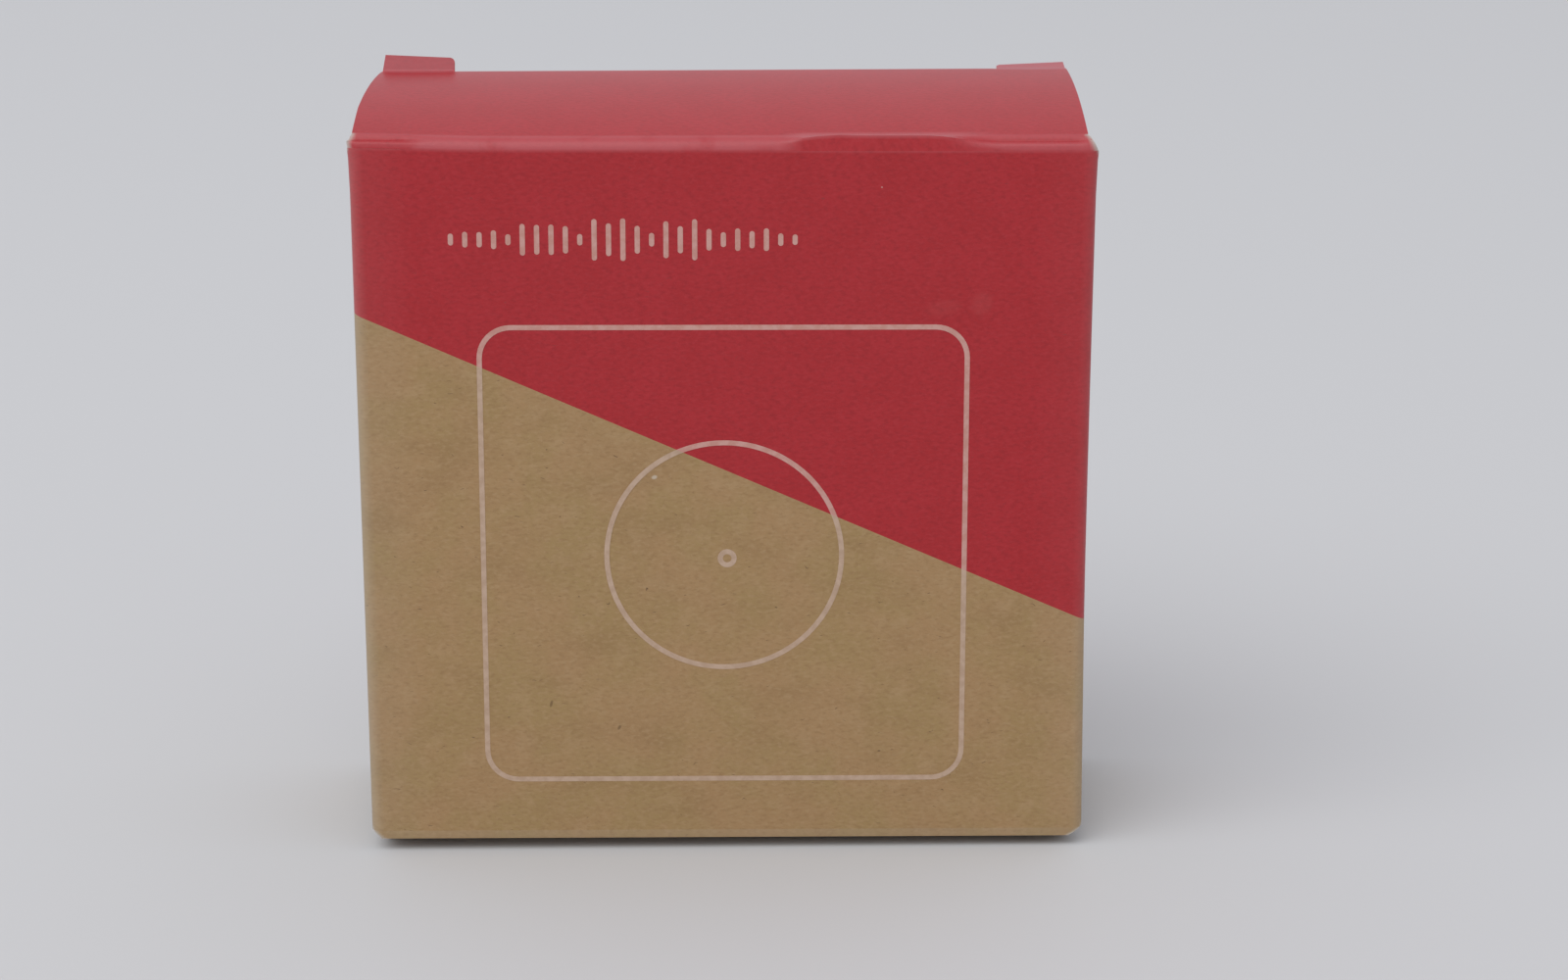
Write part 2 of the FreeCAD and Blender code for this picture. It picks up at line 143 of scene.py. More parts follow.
def flecks(material, place, spacing, width, share, turn):
    """A share for short dark fibres, five times as long as wide: one at most in each cell of
    the spacing, in a share of the cells, bent a little by noise."""
    sway = add_node(
        material, "ShaderNodeTexNoise", {"Vector": place, "Scale": 0.8, "Detail": 1.0}
    )
    bent = add_node(
        material,
        "ShaderNodeVectorMath",
        {0: sway.outputs[1], 1: (1.5, 1.5, 0.0), 2: place},
        operation="MULTIPLY_ADD",
    )
    lay = add_node(
        material,
        "ShaderNodeMapping",
        {
            "Vector": bent.outputs[0],
            "Rotation": (0.0, 0.0, math.radians(turn)),
            "Scale": (0.45 / spacing, 2.2 / spacing, 1.0),
        },
    )
    cells = add_node(
        material,
        "ShaderNodeTexVoronoi",
        {"Vector": lay.outputs[0], "Scale": 1.0},
        voronoi_dimensions="2D",
    )
    close = add_node(
        material,
        "ShaderNodeMapRange",
        {
            "Value": cells.outputs["Distance"],
            "From Min": 0.3 * width / spacing,
            "From Max": 1.1 * width / spacing,
            "To Min": 1.0,
            "To Max": 0.0,
        },
    )
    chance = add_node(material, "ShaderNodeSeparateColor", {0: cells.outputs["Color"]})
    kept = add_node(
        material,
        "ShaderNodeMath",
        {0: chance.outputs[0], 1: share},
        operation="LESS_THAN",
    )
    both = add_node(
        material,
        "ShaderNodeMath",
        {0: close.outputs[0], 1: kept.outputs[0]},
        operation="MULTIPLY",
    )
    return both.outputs[0]


def worn_and_lit_share(material, place, name, across, span, most=1.0):
    """A share that is kept in one of the sheet's attributes, broken up by soft patches."""
    kept = add_node(material, "ShaderNodeAttribute", attribute_name=name)
    broken = add_node(
        material,
        "ShaderNodeMath",
        {0: kept.outputs["Fac"], 1: soft_patches(material, place, across, span, most)},
        operation="MULTIPLY",
    )
    return broken.outputs[0]


def oval_mark(material, place, middle, reach, turn, most):
    """A share for one mark: a soft oval about a middle on the flat sheet."""
    lay = add_node(
        material,
        "ShaderNodeMapping",
        {
            "Vector": place,
            "Location": (*middle, 0.0),
            "Rotation": (0.0, 0.0, math.radians(turn)),
            "Scale": (*reach, 1.0),
        },
        vector_type="TEXTURE",
    )
    away = add_node(
        material, "ShaderNodeVectorMath", {0: lay.outputs[0]}, operation="LENGTH"
    )
    share = add_node(
        material,
        "ShaderNodeMapRange",
        {
            "Value": away.outputs["Value"],
            "From Min": 0.5,
            "From Max": 1.1,
            "To Min": most,
            "To Max": 0.0,
        },
        interpolation_type="SMOOTHSTEP",
    )
    return share.outputs[0]


def lay_tones(material, shader, base, tones):
    """Lay each tone over the ones before it by its share, as the surface's colour."""
    colour = linear(base)
    for share, tone in tones:
        layer = add_node(
            material,
            "ShaderNodeMix",
            {0: share, 6: colour, 7: linear(tone)},
            data_type="RGBA",
        )
        colour = layer.outputs[2]
    material.node_tree.links.new(colour, shader.inputs["Base Color"])


def raise_tooth(material, shader, height, rise):
    """The board's faint tooth, as bumps of so many millimetres."""
    tooth = add_node(
        material,
        "ShaderNodeBump",
        {"Strength": 0.3, "Distance": rise / 1000, "Height": height},
    )
    material.node_tree.links.new(tooth.outputs[0], shader.inputs["Normal"])


def kraft_finish(name, tones):
    """Uncoated kraft board. It has next to no gloss, so its tone shows: clouds of olive over
    brown, a grain that is drawn twice as coarse as the real one, and turned dark flecks."""
    base, olive, light, grain_tone, dark = tones
    material, shader, place = new_finish(name)
    grain = soft_patches(material, place, 0.5, (0.42, 0.7))
    # millimetres across, the noise's span, the most it shows, how drawn out, how turned
    layers = [
        (soft_patches(material, place, 11.0, (0.38, 0.62)), olive),
        (soft_patches(material, place, 5.0, (0.45, 0.75), 0.5, 2.0, 35.0), grain_tone),
        (soft_patches(material, place, 3.0, (0.5, 0.75), 0.5), light),
        (soft_patches(material, place, 0.4, (0.45, 0.72), 0.6, 2.2, 62.0), grain_tone),
        (soft_patches(material, place, 0.45, (0.45, 0.72), 0.55, 1.8, -15.0), light),
    ]
    for spacing, width, share, turn in (
        (3.0, 0.11, 0.16, 25.0),
        (3.4, 0.12, 0.14, 95.0),
        (2.7, 0.10, 0.14, 150.0),
    ):
        layers.append((flecks(material, place, spacing, width, share, turn), dark))
    # the folds' pale tone: wear, and on the upright folds also painted light where they turn
    # to the side
    layers.append((worn_and_lit_share(material, place, "fold_wear_and_light", 5.0, (-0.2, 0.45)), "A99B86"))
    layers.append((worn_and_lit_share(material, place, "raw_edge", 0.5, (0.2, 0.45), 0.95), "B5AFA6"))
    # one pale speck and two dark ones, by their places on the flat sheet in millimetres
    for middle, reach, turn, tone in (
        ((-8.6, 47.84), (0.42, 0.3), 20.0, "BFB1A0"),
        ((-21.9, 18.24), (0.55, 0.2), 75.0, "6A5338"),
        ((-13.4, 15.04), (0.4, 0.22), 60.0, "6E573B"),
    ):
        layers.append((oval_mark(material, place, middle, reach, turn, 0.75), tone))
    lay_tones(material, shader, base, layers)
    shader.inputs["Roughness"].default_value = 0.8
    shader.inputs["Specular IOR Level"].default_value = 0.3
    raise_tooth(material, shader, grain, 0.03)
    return material


def red_finish(name):
    """Red offset ink on the kraft board. It is matt until it is seen along the surface, where
    it turns pale, and the board's grain shows in it faintly darker."""
    material, shader, place = new_finish(name)
    grain = soft_patches(material, place, 0.5, (0.42, 0.7))
    layers = [
        (soft_patches(material, place, 6.0, (0.35, 0.65)), "A61F27"),
        (soft_patches(material, place, 0.45, (0.42, 0.7), 0.75, 2.0, 65.0), "951820"),
        (soft_patches(material, place, 0.4, (0.45, 0.7), 0.5, 1.8, -20.0), "AB2A31"),
        (flecks(material, place, 3.6, 0.1, 0.1, 20.0), "8A2A2C"),
        (flecks(material, place, 3.1, 0.1, 0.1, 110.0), "8A2A2C"),
        # the folds' pale tone: wear, with painted light on the upright folds, a painted
        # highlight on the top crease's ridge and painted shade in its pressed line
        (worn_and_lit_share(material, place, "fold_wear_and_light", 5.0, (0.1, 0.5), 0.8), "B2565B"),
        (worn_and_lit_share(material, place, "raw_edge", 0.5, (0.2, 0.45), 0.95), "B5AFA6"),
        # two rubbed patches, a pale speck, and a pale patch on each ear of the top lid
        (oval_mark(material, place, (26.9, 69.3), (2.6, 1.2), 10.0, 0.06), "C06A66"),
        (oval_mark(material, place, (31.5, 69.8), (1.8, 1.5), 70.0, 0.08), "C06A66"),
        (oval_mark(material, place, (19.3, 84.34), (0.14, 0.12), 0.0, 0.5), "C9A79E"),
        (oval_mark(material, place, (-38.6, 120.3), (8.0, 2.4), 0.0, 0.2), "B88A8F"),
        (oval_mark(material, place, (39.5, 120.6), (8.0, 2.4), 0.0, 0.33), "B88A8F"),
    ]
    lay_tones(material, shader, "A21C23", layers)
    shader.inputs["Roughness"].default_value = 0.42
    shader.inputs["Specular IOR Level"].default_value = 0.4
    raise_tooth(material, shader, grain, 0.02)
    return material


def cut_edge_finish(name, tone, grain_tone):
    """The board's core where the die has cut it: pale grey fibres, rough and chalky."""
    material, shader, place = new_finish(name)
    grain = soft_patches(material, place, 0.4, (0.35, 0.65))
    lay_tones(material, shader, tone, [(grain, grain_tone)])
    shader.inputs["Roughness"].default_value = 0.9
    shader.inputs["Specular IOR Level"].default_value = 0.2
    return material


red_ink = red_finish("red_ink_on_kraft")
bare_kraft = kraft_finish(
    "bare_kraft_board", ("A1815B", "9C8157", "A98C67", "8F714D", "67503A")
)
kraft_inside = kraft_finish(
    "kraft_board_inside", ("94795A", "8F7854", "9A8061", "84694B", "67503A")
)
cut_edge = cut_edge_finish("die_cut_edge", "BDB2A3", "A39583")

# The sleeve
# Front, back and two side panels of one folded sheet, closed by a glue flap that the right
# side carries behind the back panel. Each side panel also carries a dust flap at each end,
# folded in under the lids.

low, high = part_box("carton_body")
WIDTH, DEPTH, HEIGHT = (round(high[axis] - low[axis], 5) for axis in range(3))
# the slope and the bow of the bottom lid's bulge, which holds the sleeve off the table
REST_SLOPE = 10.6
REST_BOW = 0.082
LIFT = REST_BOW * (1 - math.cos(math.radians(REST_SLOPE)))
BOARD = 0.0005
# outer radius of the creases, and the length of board in a square one
FOLD = 0.0012
QUARTER = FOLD * math.pi / 2
CREASE_STEPS = 8
# places nearer than this are one
TINY = 1e-7

FRONT_HALF = WIDTH / 2 - FOLD
LEFT_SIDE = DEPTH - 2 * FOLD
RIGHT_SIDE = LEFT_SIDE - BOARD
SEAM_SETBACK = 0.00025
BACK = WIDTH - FOLD - SEAM_SETBACK
GLUE_FLAP = 0.013
GLUE_SETBACK, GLUE_TAPER = 0.0015, 0.0026
SIDE_START = FRONT_HALF + QUARTER
FRONT_TOP = HEIGHT - FOLD

# Each dust flap folds a little below its lid. It runs from a slit at the front fold to a
# shoulder and a notch at the rear, and narrows to its tip.
DUST_SETBACK = 0.0008
SIDE_TOP = FRONT_TOP - DUST_SETBACK
DUST_ROOT = SIDE_TOP + QUARTER
DUST_LENGTH = 0.027
DUST_FRONT, DUST_REAR = 0.0003, 0.0278
DUST_STRAIGHT, DUST_SHOULDER, DUST_NOTCH = 0.0025, 0.0095, 0.0035
DUST_TIP = (0.00446, 0.02277)
DUST_CORNER = 0.004

right_run = [
    (FRONT_HALF, 0.0),
    (QUARTER, 90.0),
    (RIGHT_SIDE, 0.0),
    (QUARTER, 90.0),
    (GLUE_FLAP, 0.0),
]
left_run = [
    (FRONT_HALF, 0.0),
    (QUARTER, 90.0),
    (LEFT_SIDE, 0.0),
    (QUARTER, 90.0),
    (BACK, 0.0),
]
dust_run = [(SIDE_TOP - HEIGHT / 2, 0.0), (QUARTER, -90.0), (DUST_LENGTH, 0.0)]


def walk(distance, start, heading, run):
    """Where a folded section has come to after a distance along its outer surface. The run
    is a list of lengths, each with the degrees that it turns to the left."""
    across, up = start
    heading = math.radians(heading)
    for length, turn in run:
        step = min(distance, length)
        if turn:
            radius = length / math.radians(turn)
            bend = step / radius
            across += radius * (math.sin(heading + bend) - math.sin(heading))
            up -= radius * (math.cos(heading + bend) - math.cos(heading))
            heading += bend
        else:
            across += step * math.cos(heading)
            up += step * math.sin(heading)
        distance -= step
        if distance <= 0:
            break
    return across, up


# how far the front panel bellies out, and the share of it that the back panel has
PANEL_BOW, BACK_SHARE = 0.00022, 0.8


def panel_bow(across, level):
    """How far a standing panel bellies out: a slow, uneven bow that dies out at its folds."""
    along = max(0.0, math.cos(across / FRONT_HALF * math.pi / 2))
    rise = max(0.0, math.sin(level / HEIGHT * math.pi))
    wave = 1 + 0.35 * math.sin(across * 70 + 1.3) * math.cos(level * 55 + 0.4)
    return PANEL_BOW * along * rise * wave


# how far the right side leans out at its top and its foot, from the level between them, and
# how far, and over what height and depth, the front folds open at their top ends
FLARE_TOP, FLARE_FOOT, FLARE_LEVEL = 0.00045, 0.0002, 0.030
MOUTH, MOUTH_HEIGHT, MOUTH_DEPTH = 0.00028, 0.0025, 0.004


def corner_flare(across, level, depth):
    """The right side leans out a little towards its top and its foot, and both front
    upright folds open out at their top ends."""
    share = max(0.0, across / (WIDTH / 2)) ** 3
    top = max(0.0, (level - FLARE_LEVEL) / (HEIGHT - FLARE_LEVEL)) ** 1.5
    foot = max(0.0, 1 - level / FLARE_LEVEL)
    mouth = max(0.0, 1 + (level - FRONT_TOP) / MOUTH_HEIGHT)
    mouth *= max(0.0, 1 - (depth + DEPTH / 2) / MOUTH_DEPTH)
    opened = across / (WIDTH / 2) * mouth * max(0.0, (abs(across) - FRONT_HALF) / FOLD)
    return share * (FLARE_TOP * top + FLARE_FOOT * foot) + MOUTH * opened


def eased(place, low, high):
    """A smooth rise from 0 to 1 over a stretch."""
    share = min(1.0, max(0.0, (place - low) / (high - low)))
    return share * share * (3 - 2 * share)


# The front panel's lean at its foot and how much more it leans at its top, how far its top
# sinks and its left corner is pulled up again, the height at which all that is full, and how
# far behind the panel it ends.
LEAN, MORE_LEAN = 0.0035, 0.003
TOP_SINKS, CORNER_PULL = 0.0001, 0.0003
LEAN_HEIGHT, LEAN_DEPTH = 0.0905, 0.0295


def settled(across, depth, height):
    """How much higher a point stands because the carton is a little out of square: its front
    panel leans down to the right, most at its top, and its top left corner is pulled up."""
    front = min(1.0, max(0.0, 1 - (depth + DEPTH / 2) / LEAN_DEPTH))
    up = height / LEAN_HEIGHT
    raised = CORNER_PULL * eased(-across, 0.028, 0.044) - TOP_SINKS
    shift = up**8 * raised - across * (LEAN + MORE_LEAN * up**3)
    return shift * front * eased(height, 0.0, LIFT)


def fold_sleeve(along, level):
    """From the flat sheet to the folded sleeve. The sheet's first measure runs round the
    carton from the middle of the front panel, and its second runs up."""
    side = math.copysign(1.0, along)
    run = right_run if side > 0 else left_run
    across, depth = walk(abs(along), (0.0, -DEPTH / 2), 0.0, run)
    panel = RIGHT_SIDE if side > 0 else LEFT_SIDE
    inset, rise = 0.0, abs(level - HEIGHT / 2)
    past = abs(along) - SIDE_START
    if -TINY < past < panel + TINY:
        on_flap = DUST_FRONT - TINY < past < DUST_REAR + TINY
        if on_flap or rise <= SIDE_TOP - HEIGHT / 2:
            inset, rise = walk(rise, (0.0, 0.0), 90.0, dust_run)
    height = HEIGHT / 2 + math.copysign(rise, level - HEIGHT / 2)
    x = side * (across - inset)
    if abs(along) <= FRONT_HALF:
        depth -= panel_bow(across, level)
    elif past > panel + QUARTER - TINY and side < 0:
        depth += BACK_SHARE * panel_bow(across, level)
    if inset == 0.0:
        x += corner_flare(x, height, depth)
    height += LIFT
    return x, depth, height + settled(x, depth, height)


def round_corners(bm, corners, radius, segments=6):
    """Round some corners of a flat shape."""
    bmesh.ops.bevel(
        bm,
        geom=corners,
        offset=radius,
        offset_type="OFFSET",
        affect="VERTICES",
        segments=segments,
        profile=0.5,
        material=-1,
    )


def flat_blank(outline, rounded=()):
    """A die-cut piece of the flat sheet: its outline, with some corners rounded."""
    bm = bmesh.new()
    corners = [bm.verts.new((*point, 0.0)) for point in outline]
    face = bm.faces.new(corners)
    bm.normal_update()
    if face.normal.z < 0:
        face.normal_flip()
    for index, radius in rounded:
        round_corners(bm, [corners[index]], radius)
    return bm


def score(bm, axis, places):
    """Divide the flat sheet along straight lines, so that it can bend there."""
    normal = Vector((1.0, 0.0, 0.0)) if axis == "across" else Vector((0.0, 1.0, 0.0))
    for place in places:
        geometry = bm.verts[:] + bm.edges[:] + bm.faces[:]
        bmesh.ops.bisect_plane(
            bm, geom=geometry, dist=TINY, plane_co=normal * place, plane_no=normal
        )


# how far past a crease or a cut edge the wear fades out
WEAR_REACH, EDGE_REACH = 0.0005, 0.0003


def crease_lines(start, length):
    """Where a crease is divided, with a line just outside each end for its wear."""
    steps = [start + length * step / CREASE_STEPS for step in range(CREASE_STEPS + 1)]
    margin = math.copysign(WEAR_REACH, length)
    return [start - margin, *steps, start + length + margin]


def spread_lines(start, end, spacing):
    """Evenly spaced lines across a panel."""
    count = max(1, round(abs(end - start) / spacing))
    return [start + (end - start) * step / count for step in range(1, count)]


# The slots of the outside's two finishes. Those of the inside and of the cut edges follow in
# pairs of their own.
RED, KRAFT = 0, 1
FINISHES = (red_ink, bare_kraft, kraft_inside, kraft_inside, cut_edge, cut_edge)


def sheet_piece(name, bm, fold, wear_and_light, finish, split=None):
    """Fold a flat sheet, give each face its finish, and give the board its thickness."""
    flat = bm.loops.layers.uv.new("blank")
    worn_and_lit = bm.verts.layers.float.new("fold_wear_and_light")
    raw = bm.verts.layers.float.new("raw_edge")
    for vert in bm.verts:
        vert[worn_and_lit], vert[raw] = wear_and_light(vert.co.x, vert.co.y)
        for loop in vert.link_loops:
            loop[flat].uv = (vert.co.x, vert.co.y)
    for face in bm.faces:
        middle = face.calc_center_median()
        face.material_index = finish(middle.x, middle.y)
    for vert in bm.verts:
        vert.co = fold(vert.co.x, vert.co.y)
    if split:
        split(bm)
    mesh = bpy.data.meshes.new(name)
    bm.to_mesh(mesh)
    bm.free()
    for material in FINISHES:
        mesh.materials.append(material)
    piece = bpy.data.objects.new(name, mesh)
    bpy.context.collection.objects.link(piece)
    wall = piece.modifiers.new("board", "SOLIDIFY")
    wall.thickness = BOARD
    wall.offset = -1.0
    wall.use_even_offset = True
    wall.material_offset = 2
    wall.material_offset_rim = 4
    settle(piece)
    return piece


# cut edges and corners steeper than this stay sharp
SHARP = math.radians(40)


def settle(piece):
    """Make a piece's modifiers part of its mesh, smooth with sharp cut edges."""
    depsgraph = bpy.context.evaluated_depsgraph_get()
    mesh = bpy.data.meshes.new_from_object(
        piece.evaluated_get(depsgraph), preserve_all_data_layers=True, depsgraph=depsgraph
    )
    mesh.name = piece.name
    piece.modifiers.clear()
    piece.data = mesh
    mesh.polygons.foreach_set("use_smooth", [True] * len(mesh.polygons))
    mesh.set_sharp_from_angle(angle=SHARP)


def near(place, start, end, reach=WEAR_REACH):
    """1 inside a stretch, and fading to 0 within a reach outside it."""
    outside = max(start - place, place - end, 0.0)
    return max(0.0, 1 - outside / reach)


# The corners of the front panel: half its width where a lid starts, where on the fold the
# slanted cut starts, and how far the cut falls by the fold's end, at the top and the bottom.
LID_ROOT = 0.04485
slant_start = FRONT_HALF + FOLD * math.asin((LID_ROOT - FRONT_HALF) / FOLD)
TOP_DROP, BOTTOM_DROP = 0.0004, -0.0002

# half of the sleeve's outline above its middle, from the front panel round to each end
dust_edge = [
    (SIDE_START, SIDE_TOP),
    (SIDE_START + DUST_FRONT, SIDE_TOP),
    (SIDE_START + DUST_FRONT, DUST_ROOT + DUST_STRAIGHT),
    (SIDE_START + DUST_TIP[0], DUST_ROOT + DUST_LENGTH),
    (SIDE_START + DUST_TIP[1], DUST_ROOT + DUST_LENGTH),
    (SIDE_START + DUST_REAR - DUST_NOTCH, DUST_ROOT + DUST_SHOULDER + DUST_NOTCH),
    (SIDE_START + DUST_REAR, DUST_ROOT + DUST_SHOULDER),
    (SIDE_START + DUST_REAR, SIDE_TOP),
    (SIDE_START + RIGHT_SIDE, SIDE_TOP),
    (SIDE_START + RIGHT_SIDE, HEIGHT),
]
right_end = SIDE_START + RIGHT_SIDE + QUARTER
upper_right = [
    *dust_edge,
    (right_end, HEIGHT),
    (right_end, HEIGHT - GLUE_SETBACK),
    (right_end + GLUE_FLAP, HEIGHT - GLUE_SETBACK - GLUE_TAPER),
]
left_end = SIDE_START + LEFT_SIDE + QUARTER + BACK
upper_left = [*dust_edge, (left_end, HEIGHT)]


def cut_corner(drop):
    """The slanted cut where a corner of the front panel meets its lid."""
    return [(slant_start, FRONT_TOP), (SIDE_START, FRONT_TOP - drop)]


outline = []
for side, half in ((1, upper_right), (-1, upper_left)):
    above = [(side * along, level) for along, level in cut_corner(TOP_DROP) + half]
    below = [(side * along, HEIGHT - level) for along, level in cut_corner(BOTTOM_DROP) + half]
    ring = above + below[::-1]
    outline += ring if side > 0 else ring[::-1]
tip = DUST_ROOT + DUST_LENGTH - HEIGHT / 2
tips = [
    index for index, point in enumerate(outline) if abs(point[1] - HEIGHT / 2) > tip - TINY
]
sleeve = flat_blank(outline, [(index, DUST_CORNER) for index in tips])

PANEL_STEP, ROW_STEP = 0.006, 0.007
columns = [0.0]
for side, panel, last in ((1, RIGHT_SIDE, GLUE_FLAP), (-1, LEFT_SIDE, BACK)):
    side_end = SIDE_START + panel
    last_start = side_end + QUARTER
    half = spread_lines(0.0, FRONT_HALF, PANEL_STEP)
    half += crease_lines(FRONT_HALF, QUARTER)
    half += spread_lines(SIDE_START, side_end, PANEL_STEP)
    half += crease_lines(side_end, QUARTER)
    half += spread_lines(last_start, last_start + last, PANEL_STEP)
    columns += [side * line for line in half]
rows = spread_lines(0.0, HEIGHT, ROW_STEP)
rows += crease_lines(SIDE_TOP, QUARTER) + crease_lines(HEIGHT - SIDE_TOP, -QUARTER)
# two more lines below each front crease, for the wear of its corners
for below in (0.0003, 0.0007):
    rows += [FRONT_TOP - below, HEIGHT - FRONT_TOP + below]
score(sleeve, "across", columns)
score(sleeve, "up", rows)


# how far before an upright fold its wear and painted light start
PALE_LEAD = 0.0012


def fold_rub_and_light(along, start, sharpest):
    """How pale an upright fold is, from wear and from painted light where it turns to the
    side:
    little at its start, and most at its far side.
    """
    share = (along - start + PALE_LEAD) / (sharpest - start + PALE_LEAD)
    return max(0.0, share) ** 1.5 if along <= sharpest else near(along, start, sharpest)


# how pale and how bared the front upright folds are, at the right and at the left; the pale
# share is partly wear and partly painted light where each fold turns to the side
RIGHT_WEAR_AND_LIGHT, LEFT_WEAR_AND_LIGHT = (0.5, 0.07), (0.75, 0.15)
# how rubbed the rear upright folds, the dust flaps' folds and the front panel's corners are
REAR_WEAR, DUST_WEAR, CORNER_WEAR = 0.5, 0.7, 0.45


def sleeve_wear_and_light(along, level):
    """The four upright folds, most on the left, the dust flaps' folds and the mouths' cut
    edges. The front upright folds are partly painted light, lighter where they turn to the
    side."""
    panel = RIGHT_SIDE if along > 0 else LEFT_SIDE
    far = SIDE_START + panel
    front_fold = fold_rub_and_light(abs(along), FRONT_HALF, SIDE_START)
    upright = max(front_fold, REAR_WEAR * near(abs(along), far, far + QUARTER))
    over = near(abs(level - HEIGHT / 2), SIDE_TOP - HEIGHT / 2, DUST_ROOT - HEIGHT / 2)
    on_side = SIDE_START < abs(along) < far
    rubbed_and_lit, bare = RIGHT_WEAR_AND_LIGHT if along > 0 else LEFT_WEAR_AND_LIGHT
    wear_and_light = max(upright * rubbed_and_lit, DUST_WEAR * over if on_side else 0.0)
    if abs(along) < SIDE_START:
        wear_and_light = max(wear_and_light, CORNER_WEAR * near(level, FRONT_TOP, HEIGHT, EDGE_REACH))
    drop = TOP_DROP if level > HEIGHT / 2 else BOTTOM_DROP
    slanted = drop * (abs(along) - slant_start) / (SIDE_START - slant_start)
    below = FRONT_TOP - slanted - (HEIGHT / 2 + abs(level - HEIGHT / 2))
    bared = near(abs(along), slant_start, SIDE_START, EDGE_REACH) * near(below, -1.0, 0.0001)
    return wear_and_light, max(bared, bare * upright)


# the red field ends in one straight slanted edge across the front and the back
SLANT_LEVEL = 0.04879
SLANT = 0.444
slant_normal = Vector((SLANT, 0.0, 1.0))
slant_point = Vector((0.0, 0.0, SLANT_LEVEL + LIFT))


def is_red(point):
    """Whether a place on the folded sleeve lies in the red field."""
    return (point - slant_point).dot(slant_normal) > 0


def split_colours(bm):
    """Cut the faces along the red field's edge, and colour them above and below it."""
    geometry = bm.verts[:] + bm.edges[:] + bm.faces[:]
    bmesh.ops.bisect_plane(
        bm, geom=geometry, dist=TINY, plane_co=slant_point, plane_no=slant_normal
    )
    for face in bm.faces:
        if face.material_index == RED and not is_red(face.calc_center_median()):
            face.material_index = KRAFT


# the red ink stops a few millimetres past the top dust flaps' folds
RED_END = DUST_ROOT + 0.003


def sleeve_finish(along, level):
    """The finish that the flat sheet's outside has before the red field's edge is cut."""
    return KRAFT if level > RED_END else RED


score(sleeve, "up", [RED_END])
sleeve_piece = sheet_piece(
    "folded_sleeve", sleeve, fold_sleeve, sleeve_wear_and_light, sleeve_finish, split_colours
)
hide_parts("carton_body")
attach(sleeve_piece, "carton")

# The lids and their tuck flaps
# Each lid is the sheet's next panel past the front crease, and its tuck flap the next past
# the lid's rear crease. Slits free a small ear at each end of that crease. The top lid has
# sprung up into a low bow, and its left ear stands up.

# a lid's depth between its creases
LID_SPAN = 0.0283
# The top front crease is wider than the others, and the bow leaves it at one slope and
# reaches the rear crease at another.
TOP_FOLD = 0.00155
FRONT_SLOPE, REAR_SLOPE = 13.95, 2.1
# a tuck flap: half its width and its length, the degrees that it curls, how far past its
# crease it widens from its neck, and the radii of its corners at its end and at its neck
TUCK_HALF = 0.0436
TUCK_LENGTH = 0.0138
TUCK_CURL = 10.06
SHOULDER = 0.0003
TUCK_CORNER, SHOULDER_CORNER = 0.007, 0.0015
# An ear lies between two half widths. The tuck flap's neck is a little narrower than the gap
# between the two ears, of which the top left one starts nearer the middle.
EAR = (0.03515, 0.0439)
NECK_HALF, LEFT_NECK_HALF = 0.0347, 0.0336


def arc(radius, turn):
    """A bend's length, with the degrees that it turns."""
    return radius * math.radians(turn), turn


class Closure:
    """A lid with its tuck flap: where each lies from the folds that lead to it. Front and
    rear are the two creases and panel the runs between, each a length with its turn."""

    def __init__(self, up, front, panel, rear):
        self.up = up
        self.start = FRONT_TOP if up > 0 else HEIGHT - FRONT_TOP
        self.front = front[0]
        self.panel_end = front[0] + sum(length for length, _ in panel)
        self.tuck_start = self.panel_end + rear[0]
        runs = (front, *panel, rear, (TUCK_LENGTH, TUCK_CURL))
        self.runs = [(length, -turn * up) for length, turn in runs]

    def at(self, distance):
        """The level on the flat sheet at a distance past the front crease's start."""
        return self.start + self.up * distance

    def reach(self, distance, run=None):
        """The depth and height at a distance."""
        first = (-DEPTH / 2, self.start + LIFT)
        return walk(distance, first, 90.0 * self.up, run or self.runs)

    def creases(self):
        """Where the front crease starts and ends, and then the rear one."""
        places = (0.0, self.front, self.panel_end, self.tuck_start)
        return [(0.0, *self.reach(distance)) for distance in places]


# The ridge in the top front crease: where it rises and where it dies out, its corner's depth
# and height over the crease's start, and the stretch where it is rippled.
RIDGE_RISES, RIDGE_ENDS = (0.0070, 0.0115), (0.0245, 0.0330)
RIDGE_DEPTH, RIDGE_HEIGHT = -0.0157, 0.00181
RIPPLE = 0.12
RIPPLE_RISES, RIPPLE_ENDS = (0.0080, 0.0100), (0.0150, 0.0170)
# The line pressed into that crease near its ends: how far round the bend it lies, the share
# of the bend that it takes to each side, its depth, and where it starts and fades.
GROOVE, GROOVE_SIDE, GROOVE_DEPTH = 0.66, 0.25, 0.00034
GROOVE_RIGHT, GROOVE_LEFT = (0.0270, 0.0330), (0.0345, 0.0390)
GROOVE_FADES = (0.0425, 0.0445)


def sharp_fold(share, begin, corner, end):
    """The place at a share of two straight runs that meet in a corner."""
    first, last = (begin, corner) if share < 0.5 else (corner, end)
    part = 2 * share if share < 0.5 else 2 * share - 1
    return [here + (there - here) * part for here, there in zip(first, last)]


